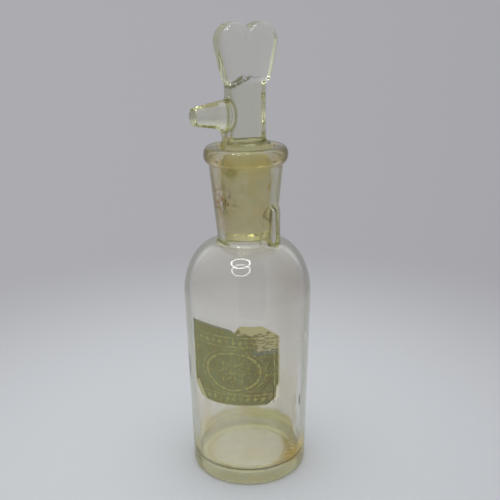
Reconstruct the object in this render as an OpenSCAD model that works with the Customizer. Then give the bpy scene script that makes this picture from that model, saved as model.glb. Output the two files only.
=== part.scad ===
// Dropping bottle of clear glass, with a ground-in drip stopper and a paper label.
// The stopper has a beak in front, a heart-shaped grip and two grooves in its plug.
// Turned until a groove meets the channel in the neck, it lets the liquid out in drops.
// Origin: centre of the foot, on the surface the bottle stands on. +Z is up, -Y is the front.

/* [Body] */
// Outer diameter where the side wall meets the shoulder
body_d = 49.4; // [44:0.2:60]
// Outer diameter at the foot
foot_d = 45.8; // [40:0.2:56]
// Height of the side wall, from the foot to the shoulder
wall_h = 73.2; // [62:0.2:95]
// Thickness of the side wall
wall_t = 2.6; // [1.8:0.1:3.4]
// Thickness of the floor at its edge
floor_t = 4.2; // [3.4:0.1:7]
// Rise of the floor and of the base towards the middle
push_up = 1; // [0.4:0.1:2]
// Width of the ring that the bottle stands on
foot_ring_w = 2.4; // [1.5:0.1:4]
// Radius of the outer corner round the foot
heel_r = 2; // [1:0.1:3]
// Radius of the inner corner round the floor
floor_fillet_r = 3; // [2:0.1:7]

/* [Shoulder and neck] */
// Rise of the shoulder, from the side wall to the foot of the neck
shoulder_h = 20.7; // [16:0.1:26]
// Thickness of the glass at the top of the shoulder
shoulder_t = 2.8; // [2:0.1:4]
// Radius of the hollow corner between shoulder and neck
neck_fillet_r = 1.6; // [0.8:0.1:2.4]
// Outer diameter at the foot of the neck
neck_d = 22.4; // [21:0.2:24]
// Outer diameter of the neck under the collar
neck_top_d = 27.8; // [25.4:0.2:29]
// Height of the neck, from the shoulder to the collar
neck_h = 29.8; // [27:0.1:36]
// Outer diameter of the collar
collar_d = 31.5; // [30:0.1:36]
// Height of the collar
collar_h = 6.3; // [5:0.1:8]

/* [Socket] */
// Diameter of the ground socket at its wide end
socket_d = 19; // [18.4:0.1:20]
// Diameter that the ground taper loses per millimetre of depth
socket_taper = 0.09; // [0.06:0.005:0.1]
// Depth of the flared mouth above the ground socket
mouth_h = 9; // [7:0.1:11]
// Diameter of the mouth at the rim
mouth_d = 22; // [21:0.1:23]
// Radius of the lip inside the rim
lip_r = 0.8; // [0.4:0.1:1.2]

/* [Channel in the neck] */
// Direction of the channel, seen from above, counted from +X
channel_turn = -33; // [-60:1:-10]
// Radius of the channel
channel_r = 2.5; // [2:0.1:2.8]
// How far the channel is sunk into the wall of the socket
channel_depth = 2.9; // [2:0.1:3.2]
// Depth of the channel's upper end below the rim
channel_top = 22; // [20:0.5:26]
// Thickness of the glass outside the channel
ridge_t = 2.9; // [2:0.1:3.4]

/* [Plug of the stopper] */
// Running clearance between the ground plug and its socket, on the radius
seat_gap = 0.04; // [0.02:0.01:0.1]
// Depth of the plug below the rim
plug_depth = 34.1; // [31:0.1:36]
// Radius of the edge round the plug's lower end
plug_edge_r = 0.8; // [0.4:0.1:1.4]
// Height of the plug's flat top above the rim
cap_rise = 1.8; // [1:0.1:3]
// Radius of the edge round the plug's top
cap_edge_r = 1; // [0.4:0.1:1.6]
// Radius of the drip groove under the beak
drip_groove_r = 2; // [1.4:0.1:2.4]
// Depth of the drip groove's lower end below the rim
drip_groove_depth = 24.5; // [20:0.5:26]
// Radius of the air groove on the other side
air_groove_r = 1.8; // [1.2:0.1:2.2]
// Depth of the air groove's lower end below the rim
air_groove_depth = 16; // [12:0.5:22]

/* [Grip of the stopper] */
// Direction of the beak, seen from above, counted from +X
beak_turn = 208; // [180:1:240]
// Width of the shank, measured along the beak's direction
shank_w = 14.2; // [12:0.1:15]
// Thickness of the shank
shank_t = 8.2; // [6.4:0.1:9.4]
// Radius of the shank's upright edges
shank_edge_r = 1.6; // [1:0.1:3]
// Height of the shank above the plug's top
shank_h = 20; // [18:0.1:26]
// Width of the heart-shaped head across its lobes
head_w = 23.8; // [21:0.1:28]
// Height of the head above the shank
head_h = 22; // [19:0.1:26]
// Thickness of the head
head_t = 8.6; // [7.4:0.1:10]
// Radius of the head's edges
head_edge_r = 2.6; // [1.4:0.1:3]
// Radius of the head's two lobes
lobe_r = 6.7; // [5.8:0.1:7.6]
// Width of the head at its chin, just above the shank
chin_w = 18.6; // [16.4:0.1:20]
// Radius of the head's lower corners
chin_r = 3.8; // [3.1:0.1:4.4]
// How far the head stands off the axis, away from the beak
head_set = 0.5; // [0:0.1:1]

/* [Beak] */
// Reach of the beak's tip from the axis
beak_reach = 21.3; // [19:0.1:24]
// Distance of the beak's root from the axis
beak_root = 8; // [7.4:0.1:9]
// Diameter of the beak at its root
beak_root_d = 11.2; // [10:0.1:12]
// Diameter of the beak at its tip
beak_tip_d = 6.9; // [5.6:0.1:8]
// Radius of the edge round the beak's tip
beak_tip_r = 1.1; // [0.6:0.1:2.4]
// Height of the beak's axis above the plug's top
beak_h = 10; // [8.4:0.1:11]
// Length of the swelling that carries the beak's root into the shank
beak_swell = 2.4; // [1.6:0.1:3.4]
// Thickness of the web under the beak
web_t = 2.8; // [2:0.1:3.6]
// Reach of the web from the axis where it meets the beak
web_reach = 10.8; // [10:0.1:12]
// Reach of the web from the axis at the height of the plug's top
web_foot = 9.2; // [8.6:0.1:9.6]

/* [Label] */
// Width of the label along its lower edge, measured straight across
label_w = 33; // [24:0.5:38]
// Height of the label
label_h = 33; // [24:0.2:40]
// Height of the label's lower edge above the foot
label_z = 35.4; // [24:0.2:38]
// Thickness of the paper
label_t = 0.16; // [0.1:0.02:0.3]
// Thickness of the paste between paper and glass
paste_t = 0.02; // [0.01:0.01:0.05]
// Direction that the middle of the label faces, counted from +X
label_turn = -103.8; // [-120:0.2:-80]

/* [Hidden] */
$fn = 96;
glass_colour = [0.80, 0.83, 0.79];
stopper_colour = [0.76, 0.80, 0.76];
paper_colour = [0.53, 0.54, 0.43];
arc_steps = 8;
shoulder_steps = 18;
hull_fn = 32;
overcut = 1;
web_foot_slope = 2;

body_r = body_d / 2;
foot_r = foot_d / 2;
neck_z = wall_h + shoulder_h;
collar_z = neck_z + neck_h;
rim_z = collar_z + collar_h;
socket_z = rim_z - mouth_h;
socket_low_z = neck_z - shoulder_t;
cap_z = rim_z + cap_rise;
plug_low_z = rim_z - plug_depth;
head_z = cap_z + shank_h;
channel_centre = socket_r(neck_z) + channel_depth - channel_r;
channel_cap_z = rim_z - channel_top - channel_r;
ridge_r = channel_r + ridge_t;
beak_z = cap_z + beak_h;
top_z = head_z + head_h;

// Radius of the ground socket at the height z
function socket_r(z) = socket_d / 2 - (socket_z - z) * socket_taper / 2;

// Outer radius of the side wall at the height z
function wall_r(z) = foot_r + (body_r - foot_r) * (z - heel_r) / (wall_h - heel_r);

// Points of an elliptical arc round [x, y], from the angle a to the angle b
function arc(x, y, rx, ry, a, b, steps = arc_steps) =
    [for (i = [0:steps]) let (t = a + (b - a) * i / steps) [x + rx * cos(t), y + ry * sin(t)]];

// A dished line from the axis to the radius r, at the height z, with its middle raised by rise
function dished(r, z, rise, steps = arc_steps) =
    [for (i = [0:steps]) [r * i / steps, z + rise * (1 + cos(180 * i / steps)) / 2]];

// The same list of points in the other order
function reversed(points) = [for (i = [len(points) - 1:-1:0]) points[i]];

// Half section of the bottle: up its outside, over the rim and down its inside
function bottle_section() =
    let (shoulder_w = body_r - neck_d / 2,
         shoulder_end = acos(neck_fillet_r / shoulder_w),
         fillet_z = wall_h + shoulder_h * sin(shoulder_end),
         inner_top_r = body_r - wall_t,
         inner_foot_r = wall_r(floor_t + floor_fillet_r) - wall_t,
         socket_low_r = socket_r(socket_low_z))
    concat(
        dished(foot_r - heel_r - foot_ring_w, 0, push_up),
        arc(foot_r - heel_r, heel_r, heel_r, heel_r, -90, 0),
        arc(neck_d / 2, wall_h, shoulder_w, shoulder_h, 0, shoulder_end, shoulder_steps),
        arc(neck_d / 2 + neck_fillet_r, fillet_z + neck_fillet_r, neck_fillet_r, neck_fillet_r,
            -90, -180),
        arc(neck_top_d / 2, collar_z + collar_h / 2, (collar_d - neck_top_d) / 2, collar_h / 2,
            -90, 90, shoulder_steps),
        arc(mouth_d / 2 + lip_r, rim_z - lip_r, lip_r, lip_r, 90, 180),
        [[socket_d / 2, socket_z]],
        arc(socket_low_r, wall_h, inner_top_r - socket_low_r, socket_low_z - wall_h,
            90, 0, shoulder_steps),
        arc(inner_foot_r - floor_fillet_r, floor_t + floor_fillet_r, floor_fillet_r,
            floor_fillet_r, 0, -90),
        reversed(dished(inner_foot_r - 2 * floor_fillet_r, floor_t, push_up))
    );

// Half section of the ground plug, from its lower end to its flat top
function plug_section() =
    let (low_r = socket_r(plug_low_z) - seat_gap,
         cap_r = socket_d / 2 - seat_gap)
    concat(
        [[0, plug_low_z]],
        arc(low_r - plug_edge_r, plug_low_z + plug_edge_r, plug_edge_r, plug_edge_r, -90, 0),
        [[cap_r, socket_z]],
        arc(cap_r - cap_edge_r, cap_z - cap_edge_r, cap_edge_r, cap_edge_r, 0, 90),
        [[0, cap_z]]
    );

// Half section of the beak, with its tip upwards: a swelling out of the shank, then a taper
function beak_section() =
    let (tip_r = beak_tip_d / 2)
    concat(
        [[0, beak_root - beak_swell], [shank_t / 2, beak_root - beak_swell], [beak_root_d / 2, beak_root]],
        arc(tip_r - beak_tip_r, beak_reach - beak_tip_r, beak_tip_r, beak_tip_r, 0, 90),
        [[0, beak_reach]]
    );

// Puts its children in the stopper's own direction: +X then points along the beak
module facing_beak() {
    rotate([0, 0, beak_turn]) children();
}

// A round groove down the plug, centred on its ground face and open at its flat top
module plug_groove(radius, depth) {
    lean = atan(socket_taper / 2);
    low_z = rim_z - depth + radius;
    translate([socket_r(low_z), 0, low_z]) {
        sphere(r = radius);
        rotate([0, lean, 0]) cylinder(r = radius, h = cap_z + 2 * overcut - low_z);
    }
}

// A bar with round upright edges
module round_bar(width, depth, height, edge) {
    linear_extrude(height) {
        square([width - 2 * edge, depth], center = true);
        square([width, depth - 2 * edge], center = true);
        for (x = [-1, 1], y = [-1, 1])
            translate([x * (width / 2 - edge), y * (depth / 2 - edge)]) circle(r = edge);
    }
}

// An upright disc with a round edge, as thick as the head
module pebble(radius) {
    rotate([90, 0, 0]) rotate_extrude($fn = hull_fn) {
        translate([0, head_edge_r - head_t / 2]) square([radius, head_t - 2 * head_edge_r]);
        translate([0, -head_t / 2]) square([radius - head_edge_r, head_t]);
        for (side = [-1, 1])
            translate([radius - head_edge_r, side * (head_t / 2 - head_edge_r)])
                intersection() {
                    circle(r = head_edge_r, $fn = hull_fn);
                    translate([head_edge_r - radius, -head_t]) square(2 * head_t);
                }
    }
}

// Heart-shaped grip: two lobes that each run down to the shank
module heart() {
    lobe_x = head_w / 2 - lobe_r;
    chin_x = chin_w / 2 - chin_r;
    for (side = [-1, 1])
        translate([-head_set, 0, 0]) hull() {
            translate([side * lobe_x, 0, top_z - lobe_r]) pebble(lobe_r);
            translate([side * chin_x, 0, head_z + chin_r]) pebble(chin_r);
            translate([0, 0, head_z + chin_r]) pebble(chin_r);
        }
}

// Web under the beak, its foot running out on the floor of the drip groove
module web() {
    groove_floor = socket_d / 2 - drip_groove_r;
    foot_z = cap_z - web_foot_slope * (web_foot - groove_floor);
    under_beak_z = beak_z - beak_root_d / 2;
    rotate([90, 0, 0]) linear_extrude(web_t, center = true) polygon(concat(
        [[0, foot_z], [groove_floor, foot_z]],
        arc(web_reach, cap_z, web_reach - web_foot, under_beak_z - cap_z, 180, 90),
        [[web_reach, beak_z - beak_tip_d / 2], [0, beak_z - beak_tip_d / 2]]
    ));
}

// Bottle: blown and pressed body, neck with its channel, ground socket and collar
module bottle() {
    color(glass_colour) difference() {
        union() {
            rotate_extrude() polygon(bottle_section());
            rotate([0, 0, channel_turn]) ridge();
        }
        rotate([0, 0, channel_turn]) channel();
        translate([0, 0, socket_low_z - overcut]) cylinder(r1 = socket_r(socket_low_z - overcut),
            r2 = socket_d / 2, h = socket_z - socket_low_z + overcut);
    }
}

// Swelling outside the channel, which runs down into the shoulder
module ridge() {
    translate([channel_centre, 0, socket_low_z])
        cylinder(r = ridge_r, h = channel_cap_z - socket_low_z);
    translate([channel_centre, 0, channel_cap_z]) sphere(r = ridge_r);
}

// Upright channel in the wall of the socket, open to the inside of the shoulder
module channel() {
    low_z = socket_low_z - 2 * channel_r;
    translate([channel_centre, 0, low_z]) cylinder(r = channel_r, h = channel_cap_z - low_z);
    translate([channel_centre, 0, channel_cap_z]) sphere(r = channel_r);
}

// Stopper: one piece of solid pressed glass with its plug ground to fit
module stopper() {
    color(stopper_colour) facing_beak() {
        difference() {
            rotate([0, 0, 90]) rotate_extrude() polygon(plug_section());
            plug_groove(drip_groove_r, drip_groove_depth);
            rotate([0, 0, 180]) plug_groove(air_groove_r, air_groove_depth);
        }
        translate([0, 0, cap_z - cap_edge_r])
            round_bar(shank_w, shank_t, shank_h + cap_edge_r + head_edge_r, shank_edge_r);
        heart();
        translate([0, 0, beak_z]) rotate([0, 90, 0]) rotate_extrude() polygon(beak_section());
        web();
    }
}

// Label: aged paper with a torn upper edge, pasted round the front of the body
module label() {
    label_top_z = label_z + label_h;
    low_r = wall_r(label_z) + paste_t;
    high_r = wall_r(label_top_z) + paste_t;
    color(paper_colour) intersection() {
        rotate_extrude() polygon([
            [low_r, label_z], [low_r + label_t, label_z],
            [high_r + label_t, label_top_z], [high_r, label_top_z]
        ]);
        rotate([0, 0, label_turn]) rotate([90, 0, 90]) linear_extrude(body_r + overcut)
            translate([0, label_z]) polygon(label_outline());
    }
}

// Outline of the label seen from the front, its lower edge at zero: torn above, worn at a corner
function label_outline() =
    let (half = label_w / 2)
    [
        [-half, label_h * 0.2], [-half + 2.6, 1], [-half + 6, 0], [half - 4, 0],
        [half, 2], [half - 0.6, label_h * 0.6], [half, label_h * 0.84],
        [half - 2.2, label_h * 0.91], [half - 5.4, label_h * 0.985], [half - 10, label_h],
        [2.6, label_h * 0.98], [0.8, label_h * 0.94], [-4, label_h * 0.955], [-half, label_h * 0.985]
    ];

bottle();
stopper();
label();
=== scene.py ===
"""Dropping bottle of clear glass, with a ground-in drip stopper and a worn paper label.

Everything is in metres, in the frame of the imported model: the foot's centre is the origin, +Z is
up and -Y is the front. Sizes in the classes below are in millimetres.
"""
import logging
import math
from dataclasses import dataclass
from enum import Enum
from functools import reduce

import bpy
from mathutils import Matrix, Vector, noise


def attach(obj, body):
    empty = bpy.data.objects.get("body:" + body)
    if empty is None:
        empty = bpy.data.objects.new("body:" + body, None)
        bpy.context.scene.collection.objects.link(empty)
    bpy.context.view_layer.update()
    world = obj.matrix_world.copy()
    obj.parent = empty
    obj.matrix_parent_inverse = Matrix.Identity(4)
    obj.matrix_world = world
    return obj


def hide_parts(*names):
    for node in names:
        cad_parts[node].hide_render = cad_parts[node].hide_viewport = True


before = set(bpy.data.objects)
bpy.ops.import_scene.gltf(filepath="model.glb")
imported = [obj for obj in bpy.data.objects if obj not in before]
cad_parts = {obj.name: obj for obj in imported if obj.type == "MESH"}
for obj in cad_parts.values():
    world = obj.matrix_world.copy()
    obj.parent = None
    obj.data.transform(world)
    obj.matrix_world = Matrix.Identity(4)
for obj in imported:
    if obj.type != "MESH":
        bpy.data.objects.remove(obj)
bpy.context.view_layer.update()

MM = 0.001
log = logging.getLogger("dropping_bottle")

Point = tuple[float, float]
Socket = bpy.types.NodeSocket
WHITE = (1.0, 1.0, 1.0, 1.0)
SPIN_WELD = 0.002 * MM
CAD_WELD = 0.001 * MM


class Body(Enum):
    """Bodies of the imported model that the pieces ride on."""

    BOTTLE = "bottle"
    STOPPER = "stopper"


class Slot(Enum):
    """Material slots of the record."""

    BOTTLE_GLASS = "bottle_glass"
    STOPPER_GLASS = "stopper_glass"
    LABEL_PAPER = "label_paper"


# ---------------------------------------------------------------- small helpers

def linear(hex_colour: str) -> tuple[float, float, float, float]:
    """Turns an sRGB hex colour into linear RGBA.

    Args:
        hex_colour: Six hex digits, with or without a leading hash.

    Returns:
        Linear red, green, blue and an alpha of 1.
    """
    digits = hex_colour.lstrip("#")
    channels = [int(digits[i:i + 2], 16) / 255 for i in (0, 2, 4)]
    toe, slope, offset, gamma = 0.04045, 12.92, 0.055, 2.4
    return tuple(c / slope if c <= toe else ((c + offset) / (1 + offset)) ** gamma
                 for c in channels) + (1.0,)


def arc(x: float, y: float, rx: float, ry: float, start: float, end: float,
        steps: int) -> list[Point]:
    """Points of an elliptical arc.

    Args:
        x: Centre's first coordinate.
        y: Centre's second coordinate.
        rx: Radius along the first axis.
        ry: Radius along the second axis.
        start: First angle in degrees.
        end: Last angle in degrees.
        steps: Number of stretches.

    Returns:
        The arc's points, both ends included.
    """
    angles = [math.radians(start + (end - start) * i / steps) for i in range(steps + 1)]
    return [(x + rx * math.cos(a), y + ry * math.sin(a)) for a in angles]


def filled(points: list[Point], step: float) -> list[Point]:
    """Adds points along each straight stretch that is longer than a step.

    Args:
        points: The outline's points in order.
        step: Longest stretch that is left whole.

    Returns:
        The outline with the added points.
    """
    out = [points[0]]
    for (x0, y0), (x1, y1) in zip(points, points[1:]):
        count = max(1, math.ceil(math.hypot(x1 - x0, y1 - y0) / step))
        out += [(x0 + (x1 - x0) * i / count, y0 + (y1 - y0) * i / count)
                for i in range(1, count + 1)]
    return out


def along(points: list[Point], x: float) -> float:
    """Height of a broken line at x.

    Args:
        points: The line's corners, from left to right.
        x: Where it is read.

    Returns:
        The height, and beyond an end that end's height.
    """
    for (x0, y0), (x1, y1) in zip(points, points[1:]):
        if x <= x1:
            return y0 + (y1 - y0) * max(0.0, (x - x0) / (x1 - x0))
    return points[-1][1]


def smooth_step(low: float, high: float, value: float) -> float:
    """Smooth ramp from 0 at low to 1 at high."""
    t = min(1.0, max(0.0, (value - low) / (high - low)))
    return t * t * (3 - 2 * t)


def soft_max(a: float, b: float, blend: float) -> float:
    """The larger of two lengths, with a soft corner of the given size where they meet."""
    h = max(0.0, 1 - abs(a - b) / blend)
    return max(a, b) + h * h * blend / 4


def deselect_all() -> None:
    """Leaves no object selected and none in edit mode."""
    if bpy.context.mode != "OBJECT":
        bpy.ops.object.mode_set(mode="OBJECT")
    bpy.ops.object.select_all(action="DESELECT")


def activate(piece: bpy.types.Object) -> None:
    """Makes one object the only selected and the active one.

    Args:
        piece: The object.
    """
    deselect_all()
    piece.select_set(True)
    bpy.context.view_layer.objects.active = piece


def spin_profile(name: str, profile: list[Point], steps: int) -> bpy.types.Object:
    """Turns a half section round the Z axis into a closed solid.

    Args:
        name: Name of the new object.
        profile: Radius and height of each point in millimetres, from axis to axis.
        steps: Number of stretches round the axis.

    Returns:
        The new object, with its normals outwards.
    """
    mesh = bpy.data.meshes.new(name)
    mesh.from_pydata([(r * MM, 0.0, z * MM) for r, z in profile],
                     [(i, i + 1) for i in range(len(profile) - 1)], [])
    piece = bpy.data.objects.new(name, mesh)
    bpy.context.scene.collection.objects.link(piece)
    activate(piece)
    bpy.ops.object.mode_set(mode="EDIT")
    bpy.ops.mesh.select_all(action="SELECT")
    bpy.ops.mesh.spin(steps=steps, angle=math.tau, center=(0, 0, 0), axis=(0, 0, 1))
    bpy.ops.mesh.select_all(action="SELECT")
    bpy.ops.mesh.remove_doubles(threshold=SPIN_WELD)
    bpy.ops.mesh.normals_make_consistent(inside=False)
    bpy.ops.object.mode_set(mode="OBJECT")
    return piece


def apply_modifier(piece: bpy.types.Object, kind: str, **settings: object) -> None:
    """Adds a modifier to the active piece and applies it.

    Args:
        piece: The piece that gets it.
        kind: Blender's name of the modifier's type.
        **settings: The modifier's properties.
    """
    modifier = piece.modifiers.new(kind.lower(), kind)
    for name, value in settings.items():
        setattr(modifier, name, value)
    bpy.ops.object.modifier_apply(modifier=modifier.name)


def add_node(tree: bpy.types.NodeTree, kind: str, settings: dict | None = None,
             inputs: dict | None = None) -> bpy.types.Node:
    """Adds one shader node with its settings and links.

    Args:
        tree: The node tree.
        kind: Blender's name of the node's type.
        settings: Properties of the node.
        inputs: Values or sockets for its inputs, by name or number.

    Returns:
        The new node.
    """
    made = tree.nodes.new(kind)
    for name, value in (settings or {}).items():
        setattr(made, name, value)
    for key, value in (inputs or {}).items():
        if isinstance(value, Socket):
            tree.links.new(value, made.inputs[key])
        else:
            made.inputs[key].default_value = value
    return made


class Nodes:
    """A node tree with the few sums that masks are made of."""

    def __init__(self, owner: bpy.types.Material | bpy.types.World) -> None:
        """Empties a node tree and takes it over.

        Args:
            owner: The material or the world that has it.
        """
        owner.use_nodes = True
        self.tree = owner.node_tree
        self.tree.nodes.clear()

    def add(self, kind: str, settings: dict | None = None, inputs: dict | None = None) -> bpy.types.Node:
        """Adds one node to the tree."""
        return add_node(self.tree, kind, settings, inputs)

    def math(self, operation: str, *values: object) -> Socket:
        """Result of a sum of sockets and numbers."""
        return self.add("ShaderNodeMath", {"operation": operation}, dict(enumerate(values))).outputs[0]

    def axes(self, where: Socket) -> bpy.types.bpy_prop_collection:
        """The three parts of a place or a direction."""
        return self.add("ShaderNodeSeparateXYZ", {}, {0: where}).outputs

    def turned(self, where: Socket, degrees: float) -> bpy.types.bpy_prop_collection:
        """The three parts of a place on axes that are turned about Z."""
        node = self.add("ShaderNodeVectorRotate", {"rotation_type": "Z_AXIS"},
                        {"Vector": where, "Angle": -math.radians(degrees)})
        return self.axes(node.outputs[0])

    def attribute(self, name: str) -> Socket:
        """A mask that the mesh carries."""
        return self.add("ShaderNodeAttribute", {"attribute_name": name}).outputs["Fac"]

    def facing(self) -> Socket:
        """How far the surface turns away from the eye, from 0 to 1."""
        return self.add("ShaderNodeLayerWeight", {}, {"Blend": 0.5}).outputs["Facing"]

    def inverse(self, mask: Socket) -> Socket:
        """What a mask leaves over."""
        return self.math("SUBTRACT", 1.0, mask)

    def distance(self, across: Socket, up: Socket) -> Socket:
        """Length of the straight line that spans two sides at a right angle."""
        squares = (self.math("MULTIPLY", side, side) for side in (across, up))
        return self.math("SQRT", self.math("ADD", *squares))

    def ramp(self, value: Socket, low: float, high: float) -> Socket:
        """Smooth ramp from 0 at low to 1 at high, or down where low is the larger."""
        node = self.add("ShaderNodeMapRange", {"interpolation_type": "SMOOTHSTEP"},
                        {"Value": value, "From Min": low, "From Max": high})
        return node.outputs["Result"]

    def band(self, value: Socket, low: float, high: float,
             soft: float) -> Socket:
        """Mask of 1 between low and high, with soft ends."""
        return self.math("MULTIPLY", self.ramp(value, low - soft, low + soft),
                         self.ramp(value, high + soft, high - soft))

    def mix(self, factor: object, first: object, second: object, blend: str = "MIX") -> Socket:
        """Colour between two, by a factor.

        Args:
            factor: Share of the second colour.
            first: Socket, RGBA or hex colour.
            second: The same, for a factor of 1.
            blend: Blender's name of the way of mixing.

        Returns:
            The mixed colour.
        """
        first, second = (linear(c) if isinstance(c, str) else c for c in (first, second))
        return self.add("ShaderNodeMix", {"data_type": "RGBA", "blend_type": blend},
                        {0: factor, 6: first, 7: second}).outputs[2]

    def noise(self, where: Socket, grain_mm: float, detail: float = 2,
              distortion: float = 0) -> Socket:
        """Noise whose grain has a real size, on coordinates in millimetres."""
        node = self.add("ShaderNodeTexNoise", {}, {
            "Vector": where, "Scale": 1 / grain_mm, "Detail": detail, "Distortion": distortion})
        return node.outputs["Fac"]

    def millimetres(self, kind: str = "Object", scale: float = 1 / MM) -> Socket:
        """The piece's own coordinates, or its UV map, in millimetres."""
        place = self.add("ShaderNodeTexCoord").outputs[kind]
        return self.add("ShaderNodeVectorMath", {"operation": "SCALE"}, {0: place, "Scale": scale}).outputs[0]

    def tint(self, factor: object, first: object, colour: object) -> Socket:
        """Colour multiplied by a tint, as far as a factor says."""
        return self.mix(factor, first, colour, "MULTIPLY")

    def product(self, *values: object) -> Socket:
        """Product of several masks."""
        return reduce(lambda one, other: self.math("MULTIPLY", one, other), values)

    def largest(self, *values: object) -> Socket:
        """Largest of several masks."""
        return reduce(lambda one, other: self.math("MAXIMUM", one, other), values)

    def line(self, value: Socket, centre: float, width: float,
             soft: float = 0.12) -> Socket:
        """Mask of a line of the given width where a value passes its centre."""
        away = self.math("ABSOLUTE", self.math("SUBTRACT", value, centre))
        return self.ramp(away, width / 2 + soft, width / 2 - soft)

    def stretched(self, where: Socket, scale: tuple) -> Socket:
        """Coordinates scaled along each axis, for grain that runs one way."""
        node = self.add("ShaderNodeMapping", {}, {"Vector": where, "Scale": scale})
        return node.outputs[0]

    def spot(self, where: Socket, centre: tuple, radius: float,
             soft: float) -> Socket:
        """Mask of a round spot: 1 inside the radius, 0 beyond the soft edge."""
        node = self.add("ShaderNodeVectorMath", {"operation": "DISTANCE"}, {0: where, 1: centre})
        return self.ramp(node.outputs["Value"], radius + soft, radius)


class Shader(Nodes):
    """A material with its node tree."""

    def __init__(self, name: str) -> None:
        """Makes an empty material of the given name."""
        self.material = bpy.data.materials.new(name)
        super().__init__(self.material)

    def finish(self, surface: bpy.types.Node, volume: bpy.types.Node | None = None) -> bpy.types.Material:
        """Links the shader, and the volume where there is one, to the output.

        Args:
            surface: The surface's shader.
            volume: What fills the inside.

        Returns:
            The finished material.
        """
        out = self.add("ShaderNodeOutputMaterial", {}, {"Surface": surface.outputs[0]})
        if volume:
            self.tree.links.new(volume.outputs[0], out.inputs["Volume"])
        return self.material


# ---------------------------------------------------------------- finishes

@dataclass(frozen=True)
class SodaLimeGlass:
    """What bottle and stopper glass have in common.

    Old clear soda-lime glass with a little iron: thick parts look grey-green to olive, thin
    walls look clear.
    """

    ior: float = 1.52
    absorb_hex: str = "#D9D995"
    absorb_per_m: float = 15.0

    def finish(self, s: Shader, film_and_shade: Socket, rough: Socket, clear: object) -> bpy.types.Material:
        """Glass that absorbs light on its way, so that its colour grows with its thickness.

        Args:
            s: The material's shader.
            film_and_shade: Tint of what clings to the surface, and painted shade at grazing edges.
            rough: Roughness of the surface.
            clear: Share of light that passes.

        Returns:
            The finished material.
        """
        shell = s.add("ShaderNodeBsdfPrincipled", {}, {
            "Base Color": film_and_shade, "Roughness": rough, "IOR": self.ior, "Transmission Weight": clear})
        return s.finish(shell, s.add("ShaderNodeVolumeAbsorption", {}, {
            "Color": linear(self.absorb_hex), "Density": self.absorb_per_m}))


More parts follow.
